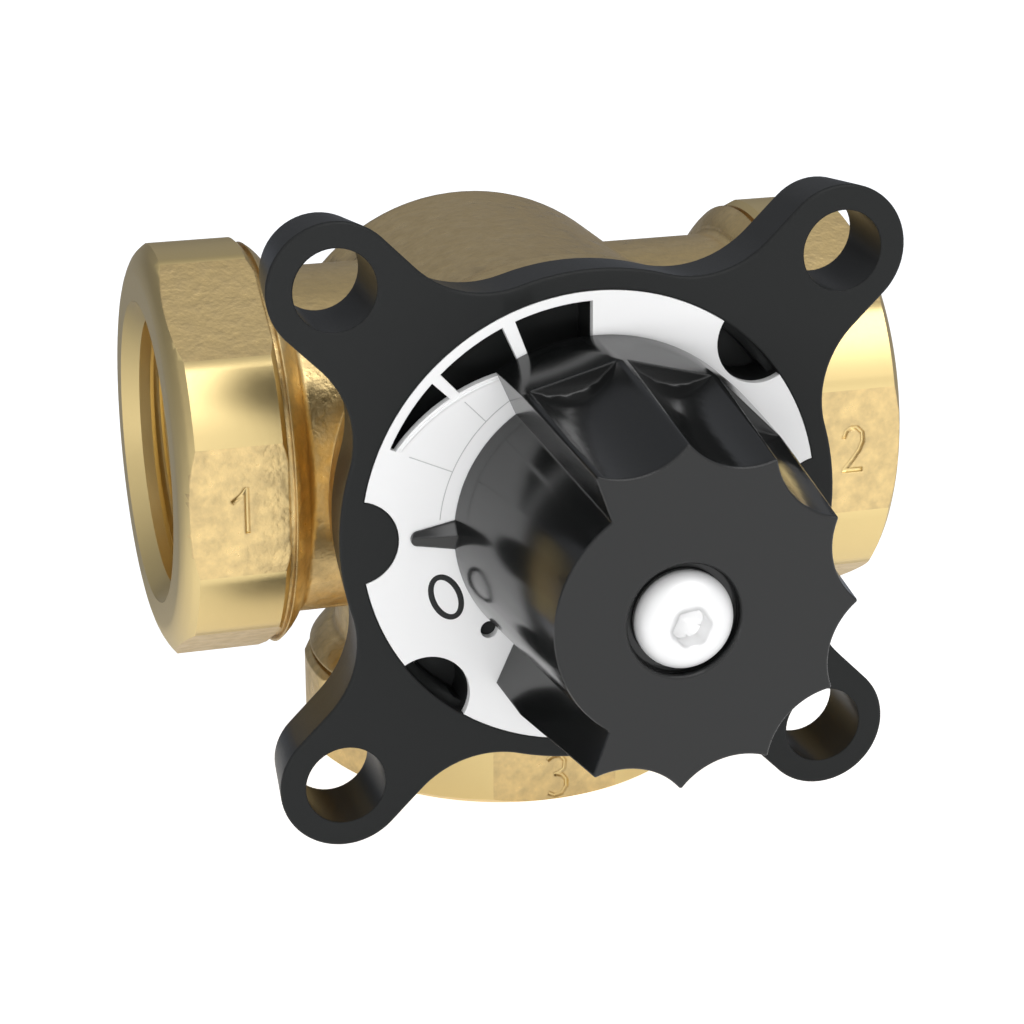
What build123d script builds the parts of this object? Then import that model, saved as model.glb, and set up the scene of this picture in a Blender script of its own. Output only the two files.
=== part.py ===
from build123d import *
import os
from math import cos, degrees, hypot, radians, sin

# A three-way mixing valve: a brass body with three threaded hexagon ends, a rotary segment on a
# spindle, a black moulded flange with four ears, a white dial and a scalloped hand knob.
#
# Each piece is built in the front frame: X right, Y up, Z towards the viewer, with Z = 0 at the
# flange's front face and the spindle along Z. to_row then sets it in the row's own frame, where
# +Z is up and the origin is the centre of port 3's mouth. Sizes are in millimetres, angles in
# degrees, counter-clockwise from +X as seen from the front.

# Overall layout
run_length = 122.0           # face to face of ports 1 and 2
port_drop = 58.0             # from the run's axis down to port 3's face
port_depth = 51.5            # from the flange's front face back to the port axes
fit_gap = 0.05               # clearance of pieces that are set into each other
running_gap = 0.06           # radial clearance of the spindle in its bushes

# Brass body
drum_back_depth = 81.5       # from the flange's front face to the back of the drum
drum_radius = 34.4           # near the back
drum_front_radius = 35.3     # just behind the rim's cone
drum_back_round = 8.0
rim_radius = 37.8
rim_width = 5.6
rim_cone_length = 8.0
chamber_radius = 28.0
chamber_back_wall = 8.0
bonnet_seat_radius = 30.0
bonnet_seat_depth = 3.0
waterway_radius = 18.0
thread_radius = 23.9         # major radius of the 1 1/2 inch pipe thread
thread_length = 21.0
thread_lead_in = 1.2         # 45 degree countersink at the mouth
thread_run_out = 4.0         # cone from the thread down to the waterway
hexagon_flats = 65.4
hexagon_length = 17.3
turned_radius = 34.4         # the hexagon's corners are turned to this
end_curve_width = 5.4        # outside a flat ring the end face curves back
end_curve_depth = 2.6
end_bow_width = 2.5
end_bow_depth = 0.9
back_chamfer_width = 0.9     # across the hexagon's corners at its inner end
back_chamfer_length = 0.9
groove_width = 0.9           # turned groove behind the hexagon
groove_depth = 1.2
shoulder_step = 0.9          # of the shoulder below the turned corners
shoulder_length = 2.9
shoulder_bow = 0.9
neck_radius = 28.9
neck_fillet = 1.4

# Black flange
flange_depth = 12.4
flange_disc_radius = 40.25
ear_spacing = 80.0
ear_radius = 10.45
ear_hole_radius = 6.4
ear_blend_radius = 16.0
flange_draft = 7.6
flange_edge_round = 0.5
dial_seat_gap = 0.1
notch_circle = 37.7          # radius on which the dial's round notches are centred
notch_radius = 6.8
boss_angles = (0.0, 180.0)
pocket_angles = (45.0, 225.0)
pocket_floor = 3.4           # thickness left under a screw's head
ledge_step = 1.1             # the pocket's thin ledge, in from its outer wall
ledge_depth = 3.2
window_trough_depth = 9.0
window_trough_inner = 25.0
core_outer_radius = 23.5
core_wall = 2.0
core_skin = 4.0
core_rib_count = 8
core_rib_width = 2.0

# White dial
dial_radius = 36.8
dial_thickness = 1.4
dial_bore_radius = 15.0
window_start = 90.5
window_end = 155.5
window_rim = 1.5             # of dial left outside the window
window_start_width = 10.9    # the window is widest at its start
window_end_width = 1.0
window_bars = ((110.8, 114.2), (133.3, 136.2))
dial_hole_circle = 23.4
dial_hole_angle = 224.5
dial_hole_radius = 1.4

# Cover screws
screw_circle = 34.1
screw_angles = (72.0, 162.0, 252.0, 342.0)
ear_angles = (45.0, 135.0, 225.0, 315.0)
screw_radius = 2.0
screw_head_radius = 3.0
screw_head_height = 3.6
screw_length = 11.0
screw_hole_depth = 8.5
screw_hexagon = 3.0
screw_socket_depth = 2.0

# Bonnet and its seals
bonnet_neck_radius = 13.5
bonnet_neck_height = 8.4     # above the body's rim
bonnet_plug_length = 4.1     # below the seat
plug_groove_width = 2.4
plug_groove_depth = 1.7
bush_length = 6.0
bush_wall = 2.0
gland_radius = 8.6
gland_length = 6.0
oring_radius = 1.2           # of the seals on the spindle
spacer_width = 0.5
retainer_radius = 10.0
retainer_length = 2.7
stop_pin_radius = 1.2
stop_pin_circle = 11.9
stop_pin_height = 2.4
stop_pin_depth = 3.0

# Spindle and rotor
spindle_radius = 6.0
journal_radius = 5.0
journal_length = 6.4
rear_bush_length = 5.5
rear_bush_wall = 1.5
spindle_square = 9.0
spindle_top = 36.0           # above the flange's front face
clip_width = 1.0
clip_groove_depth = 0.6
clip_outer_radius = 8.6
clip_mouth = 70.0
stop_plate_thickness = 1.5
stop_plate_radius = 8.8
stop_lobe_radius = 12.9
stop_lobe_half_angle = 20.0
travel = 90.0
pointer_angle = 180.0
rotor_hub_radius = 10.0
rotor_wall = 4.0
rotor_half_angle = 44.5
rotor_half_length = 20.5
rotor_web_width = 4.0
rotor_web_half_angle = 30.0
blocked_port_angle = 270.0
washer_thickness = 0.95
end_float = 0.05
rotor_pin_radius = 2.0

# Hand knob
knob_gap = 0.2               # between the knob and the dial
knob_height = 42.5           # of the face above the dial
skirt_radius = 29.9
facet_count = 12
facet_meet_height = 13.5     # where the facets' corners meet the skirt
facet_face_radius = 26.3     # corner radius at the knob's face
scallop_angles = (15.0, 45.0, 75.0, 105.0, -15.0, -45.0, -75.0, -105.0)
scallop_radius = 11.4
scallop_shelf = 13.0
scallop_face_centre = 34.7
scallop_shelf_centre = 38.0
cone_base_radius = 22.3
cone_face_radius = 19.35
wall_base = ((12.8, 19.2), (15.4, 25.0))     # the step wall's two ends at the dial
wall_face = ((11.2, 16.3), (13.5, 22.9))     # and at the knob's face
knob_edge_round = 0.35
knob_recess_radius = 8.4
knob_recess_depth = 2.0
knob_recess_round = 0.8
knob_web = 4.0
knob_bore_radius = 17.0
knob_hub_wall = 3.0
knob_rib_count = 4
knob_rib_width = 2.0
pointer_root_radius = 21.0
pointer_tip_radius = 29.2
pointer_root_half_width = 2.6
pointer_tip_half_width = 1.25
pointer_ridge_offset = 0.45    # the ridge lies nearer the upper side
pointer_root_height = 2.0
pointer_tip_height = 1.1
insert_wall = 3.0

# Knob screw
knob_screw_radius = 4.0
knob_screw_length = 20.0
knob_screw_hole_gap = 0.25
knob_screw_head_radius = 7.25
knob_screw_head_height = 4.9
knob_screw_head_land = 0.9
knob_screw_top_radius = 3.6
knob_screw_hexagon = 5.0
knob_screw_socket_depth = 2.9
drill_point = 1.0
tapped_hole_extra = 3.0

# Radii of the dial's window
window_outer_radius = dial_radius - window_rim
window_inner_start = window_outer_radius - window_start_width
window_inner_end = window_outer_radius - window_end_width

# Levels along the spindle that several pieces share
rim_level = -flange_depth
bonnet_seat_level = rim_level - bonnet_seat_depth
plug_level = bonnet_seat_level - bonnet_plug_length
neck_top_level = rim_level + bonnet_neck_height
gland_low = plug_level + bush_length + 1.0
gland_high = gland_low + gland_length
chamber_back = -(drum_back_depth - chamber_back_wall)
washer_room = washer_thickness + 2 * end_float
rotor_low = chamber_back + washer_room
rotor_high = plug_level - washer_room
clip_low = neck_top_level + 2 * end_float
stop_plate_low = clip_low + clip_width + end_float
insert_low = stop_plate_low + stop_plate_thickness
knob_web_low = knob_height - knob_web
insert_radius = spindle_radius + insert_wall
head_seat = knob_height - knob_recess_depth
mid_angle = pointer_angle - travel / 2
stop_spread = travel / 2 + stop_lobe_half_angle + degrees(stop_pin_radius / stop_pin_circle) + 0.5


def to_row(piece):
    return Location((0, -port_depth, port_drop), (90, 0, 0)) * piece


def on_circle(radius, angle):
    return (radius * cos(radians(angle)), radius * sin(radians(angle)))


def rod(radius, low, high):
    return Pos(0, 0, low) * extrude(Circle(radius), high - low)


def tube(outer, inner, low, high):
    return rod(outer, low, high) - rod(inner, low - 1, high + 1)


def torus(major, minor, level):
    return Pos(0, 0, level) * Torus(major, minor)


def sector(inner, outer, start, end, low, high):
    # A curved block between two radii and two angles
    middle = (start + end) / 2
    points = [on_circle(inner, start), on_circle(outer, start), on_circle(outer, middle),
              on_circle(outer, end), on_circle(inner, end), on_circle(inner, middle)]
    outline = [Line(points[0], points[1]), ThreePointArc(points[1], points[2], points[3]),
               Line(points[3], points[4]), ThreePointArc(points[4], points[5], points[0])]
    return Pos(0, 0, low) * extrude(make_face(outline), high - low)


def radial_bars(count, inner, outer, width, low, high):
    length = outer - inner
    bar = Pos((inner + outer) / 2, 0, (low + high) / 2) * Box(length, width, high - low)
    return [Rot(0, 0, index * 360 / count + 180 / count) * bar for index in range(count)]


# The body

def drum():
    cone_end = rim_level - rim_width - rim_cone_length
    profile = Polyline(
        (0, -drum_back_depth), (drum_radius, -drum_back_depth), (drum_front_radius, cone_end),
        (rim_radius, rim_level - rim_width), (rim_radius, rim_level), (0, rim_level), close=True)
    solid = revolve(Plane.XZ * make_face(profile), Axis.Z)
    back_edge = solid.edges().sort_by(Axis.Z)[0]
    return fillet(back_edge, drum_back_round)


def port_end(length, hexagon_turn):
    # One end along +Z from the chamber's axis: neck, rounded shoulder, groove and hexagon
    hexagon_start = length - hexagon_length
    groove_start = hexagon_start - groove_width
    shoulder_start = groove_start - shoulder_length
    shoulder_radius = turned_radius - shoulder_step
    groove_radius = shoulder_radius - groove_depth
    shoulder_foot = neck_radius + neck_fillet
    bow = ((shoulder_radius + 2 * shoulder_foot) / 3 + shoulder_bow,
           (shoulder_start + groove_start) / 2)
    outline = [
        Line((0, 0), (neck_radius, 0)),
        Line((neck_radius, 0), (neck_radius, shoulder_start - neck_fillet)),
        RadiusArc((neck_radius, shoulder_start - neck_fillet), (shoulder_foot, shoulder_start),
                  neck_fillet),
        ThreePointArc((shoulder_foot, shoulder_start), bow, (shoulder_radius, groove_start)),
        Line((shoulder_radius, groove_start), (groove_radius, groove_start)),
        Line((groove_radius, groove_start), (groove_radius, hexagon_start)),
        Line((groove_radius, hexagon_start), (0, hexagon_start)), Line((0, hexagon_start), (0, 0))]
    neck = revolve(Plane.XZ * make_face(outline), Axis.Z)
    hexagon = RegularPolygon(hexagon_flats / 2, 6, major_radius=False, rotation=hexagon_turn)
    block = Pos(0, 0, hexagon_start) * extrude(hexagon, hexagon_length)
    # The turned outline: a chamfered inner end and an end face that curves back from a flat ring
    ring_radius = turned_radius - end_curve_width
    end_bow = (turned_radius - end_bow_width, length - end_bow_depth)
    turned_outline = [
        Line((0, hexagon_start), (turned_radius - back_chamfer_width, hexagon_start)),
        Line((turned_radius - back_chamfer_width, hexagon_start),
             (turned_radius, hexagon_start + back_chamfer_length)),
        Line((turned_radius, hexagon_start + back_chamfer_length),
             (turned_radius, length - end_curve_depth)),
        ThreePointArc((turned_radius, length - end_curve_depth), end_bow, (ring_radius, length)),
        Line((ring_radius, length), (0, length)), Line((0, length), (0, hexagon_start))]
    turned = revolve(Plane.XZ * make_face(turned_outline), Axis.Z)
    return neck + (block & turned)


def port_bore(length):
    # Countersunk thread bore, its run-out cone and the waterway into the chamber
    thread_end = length - thread_length
    mouth = thread_radius + thread_lead_in
    profile = Polyline(
        (0, 0), (waterway_radius, 0), (waterway_radius, thread_end - thread_run_out),
        (thread_radius, thread_end), (thread_radius, length - thread_lead_in), (mouth, length),
        (mouth, length + 1), (0, length + 1), close=True)
    return revolve(Plane.XZ * make_face(profile), Axis.Z)


def valve_body():
    port_directions = (
        (Location((0, 0, -port_depth), (0, -90, 0)), run_length / 2, 30),
        (Location((0, 0, -port_depth), (0, 90, 0)), run_length / 2, 30),
        (Location((0, 0, -port_depth), (90, 0, 0)), port_drop, 0))
    casting = drum()
    for place, length, hexagon_turn in port_directions:
        casting += place * port_end(length, hexagon_turn)
    casting -= rod(chamber_radius, chamber_back, rim_level + 1)
    casting -= rod(bonnet_seat_radius, bonnet_seat_level, rim_level + 1)
    casting -= rod(journal_radius + running_gap + rear_bush_wall + fit_gap,
                   chamber_back - rear_bush_length - 1, chamber_back)
    for place, length, hexagon_turn in port_directions:
        casting -= place * port_bore(length)
    for angle in screw_angles:
        hole = rod(screw_radius + fit_gap, rim_level - screw_hole_depth, rim_level + 1)
        casting -= Pos(*on_circle(screw_circle, angle), 0) * hole
    return casting


# The flange

def flange_outline():
    reach = hypot(ear_spacing, ear_spacing) / 2
    shape = Circle(flange_disc_radius)
    for angle in ear_angles:
        arm = Pos(reach / 2, 0) * Rectangle(reach, 2 * ear_radius)
        shape += Rot(0, 0, angle) * arm
    joints = [corner for corner in shape.vertices()
              if abs(hypot(corner.X, corner.Y) - flange_disc_radius) < 0.01]
    shape = fillet(joints, ear_blend_radius)
    for angle in ear_angles:
        shape += Pos(*on_circle(reach, angle)) * Circle(ear_radius)
    return shape


def mounting_flange():
    reach = hypot(ear_spacing, ear_spacing) / 2
    plate = extrude(flange_outline(), -flange_depth, taper=flange_draft)
    front = plate.faces().sort_by(Axis.Z)[-1]
    plate = fillet(front.edges(), flange_edge_round)
    for angle in ear_angles:
        plate -= Pos(*on_circle(reach, angle), 0) * rod(ear_hole_radius, rim_level - 1, 1)
    seat_radius = dial_radius + dial_seat_gap
    seat = rod(seat_radius, -dial_thickness, 1)
    for angle in boss_angles:
        boss = rod(notch_radius - dial_seat_gap, -dial_thickness, 1)
        seat -= Pos(*on_circle(notch_circle, angle), 0) * boss
    plate -= seat
    floor_level = rim_level + pocket_floor
    for angle in pocket_angles:
        pocket = Pos(*on_circle(notch_circle, angle), 0) * rod(notch_radius, floor_level, 0)
        ledge = tube(seat_radius + 1, seat_radius - ledge_step, floor_level, -ledge_depth)
        plate -= (pocket & rod(seat_radius, floor_level, 0)) - ledge
    for angle in screw_angles:
        place = Pos(*on_circle(screw_circle, angle), 0)
        plate -= place * rod(screw_head_radius + 3 * fit_gap, floor_level, -dial_thickness)
        plate -= place * rod(screw_radius + 4 * fit_gap, rim_level - 1, floor_level + 1)
    plate -= sector(window_trough_inner, window_outer_radius + 0.4, window_start - 1.0,
                    window_end + 1.0, -window_trough_depth, -dial_thickness + 0.5)
    plate -= rod(bonnet_neck_radius + 2 * fit_gap, rim_level - 1, 1)
    core_inner = bonnet_neck_radius + core_wall
    core = tube(core_outer_radius, core_inner, rim_level - 1, -core_skin)
    for rib in radial_bars(core_rib_count, core_inner - 1, core_outer_radius + 1, core_rib_width,
                           rim_level - 1, 0):
        core -= rib
    return plate - core


def dial_plate():
    plate = tube(dial_radius, dial_bore_radius, -dial_thickness, 0)
    for angle in boss_angles + pocket_angles:
        notch = rod(notch_radius, -dial_thickness - 1, 1)
        plate -= Pos(*on_circle(notch_circle, angle), 0) * notch
    middle = (window_start + window_end) / 2
    corners = [on_circle(window_inner_start, window_start),
               on_circle(window_outer_radius, window_start),
               on_circle(window_outer_radius, middle), on_circle(window_outer_radius, window_end),
               on_circle(window_inner_end, window_end),
               on_circle((window_inner_start + window_inner_end) / 2, middle)]
    outline = [Line(corners[0], corners[1]), ThreePointArc(corners[1], corners[2], corners[3]),
               Line(corners[3], corners[4]), ThreePointArc(corners[4], corners[5], corners[0])]
    window = Pos(0, 0, -dial_thickness - 1) * extrude(make_face(outline), dial_thickness + 2)
    for start, end in window_bars:
        window -= sector(dial_bore_radius, dial_radius + 1, start, end, -dial_thickness - 2, 2)
    plate -= window
    hole = rod(dial_hole_radius, -dial_thickness - 1, 1)
    return plate - Pos(*on_circle(dial_hole_circle, dial_hole_angle), 0) * hole


def cover_screws():
    floor_level = rim_level + pocket_floor
    head_top = floor_level + screw_head_height
    screw = rod(screw_head_radius, floor_level, head_top)
    screw = fillet(screw.edges().sort_by(Axis.Z)[-1], 0.4)
    screw += rod(screw_radius, floor_level - screw_length, floor_level)
    socket = RegularPolygon(screw_hexagon / 2, 6, major_radius=False)
    screw -= Pos(0, 0, head_top - screw_socket_depth) * extrude(socket, screw_socket_depth)
    return [Pos(*on_circle(screw_circle, angle), 0) * screw for angle in screw_angles]


# The bonnet and what it holds

def stop_pin_places():
    return [on_circle(stop_pin_circle, mid_angle - stop_spread),
            on_circle(stop_pin_circle, mid_angle + stop_spread)]


def bonnet():
    plug_radius = chamber_radius - fit_gap
    solid = rod(plug_radius, plug_level, bonnet_seat_level)
    solid += rod(bonnet_seat_radius - fit_gap, bonnet_seat_level, rim_level)
    solid += rod(bonnet_neck_radius, rim_level, neck_top_level)
    groove_low = plug_level + (bonnet_plug_length - plug_groove_width) / 2
    solid -= tube(plug_radius + 1, chamber_radius - plug_groove_depth, groove_low,
                  groove_low + plug_groove_width)
    bush_seat = spindle_radius + running_gap + bush_wall
    solid -= rod(bush_seat + fit_gap, plug_level - 1, plug_level + bush_length)
    solid -= rod(spindle_radius + 0.5, plug_level, gland_high)
    solid -= rod(gland_radius, gland_low, gland_high)
    solid -= rod(retainer_radius + fit_gap, neck_top_level - retainer_length, neck_top_level + 1)
    solid -= rod(gland_radius, gland_low, neck_top_level)
    for place in stop_pin_places():
        hole = rod(stop_pin_radius, neck_top_level - stop_pin_depth, neck_top_level + 1)
        solid -= Pos(*place, 0) * hole
    return solid


def bonnet_oring():
    minor = plug_groove_depth / 2 - fit_gap / 2
    level = plug_level + bonnet_plug_length / 2
    return torus(chamber_radius - plug_groove_depth / 2, minor, level)


def front_bush():
    inner = spindle_radius + running_gap
    return tube(inner + bush_wall, inner, plug_level, plug_level + bush_length)


def spindle_oring(level):
    return torus((spindle_radius + gland_radius) / 2, oring_radius, level)


def seal_spacer():
    middle = (gland_low + gland_high) / 2
    return tube(gland_radius - fit_gap, spindle_radius + 2 * running_gap,
                middle - spacer_width / 2, middle + spacer_width / 2)


def seal_retainer():
    inner = spindle_radius + 2 * running_gap
    return tube(retainer_radius, inner, neck_top_level - retainer_length, neck_top_level)


def stop_pins():
    pin = rod(stop_pin_radius, neck_top_level - stop_pin_depth, neck_top_level + stop_pin_height)
    pin = chamfer(pin.edges().sort_by(Axis.Z)[-1], 0.3)
    return [Pos(*place, 0) * pin for place in stop_pin_places()]


def rear_bush():
    inner = journal_radius + running_gap
    return tube(inner + rear_bush_wall, inner, chamber_back - rear_bush_length, chamber_back)


def thrust_washer(inner, low):
    return tube(rotor_hub_radius, inner, low, low + washer_thickness)


# What turns with the spindle

def square_bar(across, trim_radius, low, high):
    bar = Pos(0, 0, low) * extrude(Rectangle(across, across), high - low)
    return bar & rod(trim_radius, low, high)


def spindle():
    journal_end = rotor_low - journal_length
    shaft = rod(journal_radius, journal_end, rotor_low)
    shaft = chamfer(shaft.edges().sort_by(Axis.Z)[0], 0.5)
    shaft += rod(spindle_radius, rotor_low, stop_plate_low)
    shaft += square_bar(spindle_square, spindle_radius, stop_plate_low, spindle_top)
    shaft -= tube(spindle_radius + 1, spindle_radius - clip_groove_depth, clip_low,
                  clip_low + clip_width)
    tapped = head_seat - knob_screw_length - tapped_hole_extra
    shaft -= rod(knob_screw_radius + fit_gap, tapped, spindle_top + 1)
    return shaft - rotor_pin_hole(rotor_pin_radius)


def rotor_pin_hole(radius):
    level = rotor_high - 5.0
    return Location((0, 0, level), (90, 0, 0)) * Cylinder(radius, 4 * rotor_hub_radius)


def rotor():
    outer = chamber_radius - running_gap
    start = blocked_port_angle - rotor_half_angle
    end = blocked_port_angle + rotor_half_angle
    low = -port_depth - rotor_half_length
    high = -port_depth + rotor_half_length
    segment = sector(outer - rotor_wall, outer, start, end, low, high)
    web_start = blocked_port_angle - rotor_web_half_angle
    web_end = blocked_port_angle + rotor_web_half_angle
    for web_low in (low, high - rotor_web_width):
        segment += sector(rotor_hub_radius - 2, outer - rotor_wall / 2, web_start, web_end,
                          web_low, web_low + rotor_web_width)
    segment += rod(rotor_hub_radius, rotor_low, rotor_high)
    segment -= rod(spindle_radius, rotor_low - 1, rotor_high + 1)
    return segment - rotor_pin_hole(rotor_pin_radius)


def rotor_pin():
    return rotor_pin_hole(rotor_pin_radius) & rod(rotor_hub_radius - 0.2, rotor_low, rotor_high)


def retaining_ring():
    ring = tube(clip_outer_radius, spindle_radius - clip_groove_depth, clip_low,
                clip_low + clip_width)
    return ring - sector(1.0, clip_outer_radius + 1, -clip_mouth / 2, clip_mouth / 2,
                         clip_low - 1, clip_low + clip_width + 1)


def square_hole(low, high):
    return square_bar(spindle_square, spindle_radius, low - 1, high + 1)


def stop_plate():
    high = stop_plate_low + stop_plate_thickness
    plate = rod(stop_plate_radius, stop_plate_low, high)
    plate += sector(stop_plate_radius - 1, stop_lobe_radius,
                    pointer_angle - stop_lobe_half_angle, pointer_angle + stop_lobe_half_angle,
                    stop_plate_low, high)
    return plate - square_hole(stop_plate_low, high)


def knob_insert():
    sleeve = rod(insert_radius, insert_low, knob_web_low)
    sleeve -= square_hole(insert_low, spindle_top)
    return sleeve - rod(spindle_radius, spindle_top, knob_web_low + 1)


# The knob

def tapered_facets():
    # The twelve facets lean in from the skirt's radius to the face
    slope = (skirt_radius - facet_face_radius) / (knob_height - facet_meet_height)
    base_radius = skirt_radius + slope * (facet_meet_height - knob_gap)
    base = Pos(0, 0, knob_gap) * RegularPolygon(base_radius, facet_count)
    face = Pos(0, 0, knob_height) * RegularPolygon(facet_face_radius, facet_count)
    return loft([base, face])


def scallop():
    # A slanted round cutter that follows the facets' draft and ends on a flat shelf
    over = 1.0
    slope = (scallop_shelf_centre - scallop_face_centre) / (knob_height - scallop_shelf)
    top_centre = scallop_face_centre - over * slope
    bottom = Pos(scallop_shelf_centre, 0, scallop_shelf) * Circle(scallop_radius)
    top = Pos(top_centre, 0, knob_height + over) * Circle(scallop_radius)
    return loft([bottom, top])


def open_sector():
    # What is taken off between the two step walls, down to the smooth cone
    inside = cone_face_radius / 3
    outer_y = skirt_radius + scallop_radius / 3
    beyond = skirt_radius + scallop_radius

    def outline(ends, level):
        (near_x, near_y), (far_x, far_y) = ends
        slant = (far_x - near_x) / (far_y - near_y)
        inner_y = near_y - inside
        inner_x = near_x - inside * slant
        outer_x = near_x + (outer_y - near_y) * slant
        corners = [(-inner_x, inner_y), (-outer_x, outer_y), (-beyond, outer_y),
                   (-beyond, -outer_y), (-outer_x, -outer_y), (-inner_x, -inner_y)]
        return Pos(0, 0, level) * make_face(Polyline(*corners, close=True))

    region = loft([outline(wall_base, knob_gap), outline(wall_face, knob_height)], ruled=True)
    cone = Pos(0, 0, knob_gap) * Cone(
        cone_base_radius, cone_face_radius, knob_height - knob_gap,
        align=(Align.CENTER, Align.CENTER, Align.MIN))
    return region - cone


def pointer():
    # A ridge of two facets that runs out over the dial
    def section(radius, half_width, height):
        corners = [(-half_width, 0), (half_width, 0), (-pointer_ridge_offset, height)]
        plane = Plane(origin=(-radius, 0, knob_gap), x_dir=(0, -1, 0), z_dir=(-1, 0, 0))
        return plane * make_face(Polyline(*corners, close=True))

    ridge = loft([section(pointer_root_radius, pointer_root_half_width, pointer_root_height),
                  section(pointer_tip_radius, pointer_tip_half_width, pointer_tip_height)])
    # Seen from the front its end is round
    round_centre = pointer_tip_radius - pointer_tip_half_width
    corners = [(-pointer_root_radius, -pointer_root_half_width),
               (-pointer_root_radius, pointer_root_half_width),
               (-round_centre, pointer_tip_half_width), (-round_centre, -pointer_tip_half_width)]
    outline = make_face(Polyline(*corners, close=True))
    outline += Pos(-round_centre, 0) * Circle(pointer_tip_half_width)
    return ridge & Pos(0, 0, knob_gap) * extrude(outline, 2 * pointer_root_height)


def knob():
    grip = rod(skirt_radius, knob_gap, knob_height) & tapered_facets()
    for angle in scallop_angles:
        grip -= Rot(0, 0, angle) * scallop()
    grip -= open_sector()
    grip += pointer()
    face = grip.faces().sort_by(Axis.Z)[-1]
    grip = fillet(face.edges(), knob_edge_round)
    hub_radius = insert_radius + knob_hub_wall
    hollow = tube(knob_bore_radius, hub_radius, knob_gap - 1, knob_web_low)
    for rib in radial_bars(knob_rib_count, hub_radius - 1, knob_bore_radius + 1, knob_rib_width,
                           scallop_shelf, knob_web_low + 1):
        hollow -= rib
    grip -= hollow
    grip -= rod(insert_radius, knob_gap - 1, knob_web_low)
    recess = rod(knob_recess_radius, head_seat, knob_height + 1)
    grip -= recess
    rim = [edge for edge in grip.edges().filter_by(GeomType.CIRCLE)
           if abs(edge.radius - knob_recess_radius) < 0.01 and edge.center().Z > head_seat + 1]
    grip = fillet(rim, knob_recess_round)
    return grip - rod(knob_screw_radius + knob_screw_hole_gap, knob_web_low - 1, head_seat + 1)


def knob_screw():
    # A button head: a short straight land, then a dome down to the flat round the socket
    top = head_seat + knob_screw_head_height
    land_top = head_seat + knob_screw_head_land
    bow_radius = (knob_screw_head_radius + knob_screw_top_radius) / 2 + 0.95
    bow_level = (land_top + top) / 2 + 0.75
    outline = [
        Line((0, head_seat), (knob_screw_head_radius, head_seat)),
        Line((knob_screw_head_radius, head_seat), (knob_screw_head_radius, land_top)),
        ThreePointArc((knob_screw_head_radius, land_top), (bow_radius, bow_level),
                      (knob_screw_top_radius, top)),
        Line((knob_screw_top_radius, top), (0, top)), Line((0, top), (0, head_seat))]
    screw = revolve(Plane.XZ * make_face(outline), Axis.Z)
    screw += rod(knob_screw_radius, head_seat - knob_screw_length, head_seat)
    floor_level = top - knob_screw_socket_depth
    socket = RegularPolygon(knob_screw_hexagon / 2, 6, major_radius=False, rotation=8)
    screw -= Pos(0, 0, floor_level) * extrude(socket, knob_screw_socket_depth)
    return screw - Pos(0, 0, floor_level - drill_point) * Cone(
        0, knob_screw_hexagon / 2, drill_point, align=(Align.CENTER, Align.CENTER, Align.MIN))


gland_quarter = gland_length / 4
pieces = {
    "valve_body": valve_body(),
    "bonnet": bonnet(),
    "bonnet_oring": bonnet_oring(),
    "mounting_flange": mounting_flange(),
    "cover_screws": cover_screws(),
    "dial_plate": dial_plate(),
    "front_bush": front_bush(),
    "rear_bush": rear_bush(),
    "front_thrust_washer": thrust_washer(spindle_radius + 2 * running_gap, rotor_high + end_float),
    "rear_thrust_washer": thrust_washer(journal_radius + 2 * running_gap, chamber_back + end_float),
    "spindle_oring_inner": spindle_oring(gland_low + gland_quarter - 0.1),
    "spindle_oring_outer": spindle_oring(gland_high - gland_quarter + 0.1),
    "seal_spacer": seal_spacer(),
    "seal_retainer": seal_retainer(),
    "stop_pins": stop_pins(),
    "spindle": spindle(),
    "rotor": rotor(),
    "rotor_pin": rotor_pin(),
    "retaining_ring": retaining_ring(),
    "stop_plate": stop_plate(),
    "knob_insert": knob_insert(),
    "knob": knob(),
    "knob_screw": knob_screw(),
}

os.makedirs("parts", exist_ok=True)
for name, piece in pieces.items():
    if isinstance(piece, list):
        piece = Compound(children=piece)
    export_step(to_row(piece), f"parts/{name}.step")
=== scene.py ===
# A three-way mixing valve: cast brass body, black moulded flange and knob, white dial.
import math

import bmesh
import bpy
from mathutils import Matrix, Vector


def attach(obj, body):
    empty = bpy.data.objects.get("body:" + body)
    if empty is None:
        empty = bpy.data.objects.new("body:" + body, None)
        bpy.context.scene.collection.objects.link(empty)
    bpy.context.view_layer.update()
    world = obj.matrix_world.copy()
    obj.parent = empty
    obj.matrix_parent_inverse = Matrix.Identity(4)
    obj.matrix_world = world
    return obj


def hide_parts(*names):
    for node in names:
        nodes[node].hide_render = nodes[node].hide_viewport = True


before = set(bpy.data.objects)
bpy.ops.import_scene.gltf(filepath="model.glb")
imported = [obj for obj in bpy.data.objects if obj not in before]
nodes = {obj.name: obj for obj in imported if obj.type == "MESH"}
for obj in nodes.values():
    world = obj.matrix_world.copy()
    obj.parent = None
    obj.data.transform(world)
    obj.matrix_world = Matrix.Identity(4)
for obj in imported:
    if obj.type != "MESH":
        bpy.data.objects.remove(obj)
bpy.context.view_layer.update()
print("frame loaded:", len(nodes), "nodes")

# The layout that the CAD model has, in metres: the front frame looks along +Y at the dial
layout = {
    "portDepth": 0.0515,     # from the flange's front face back to the port axes
    "runHeight": 0.058,      # of the run's axis over port 3's face
    "halfRun": 0.061,        # from the spindle's axis to port 1's or 2's face
    "hexagonFlats": 0.0654,
    "threadRadius": 0.0239,
}
frontPlace = Matrix.Translation((0, -layout["portDepth"], layout["runHeight"])) @ Matrix.Rotation(
    math.pi / 2, 4, "X")


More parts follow.
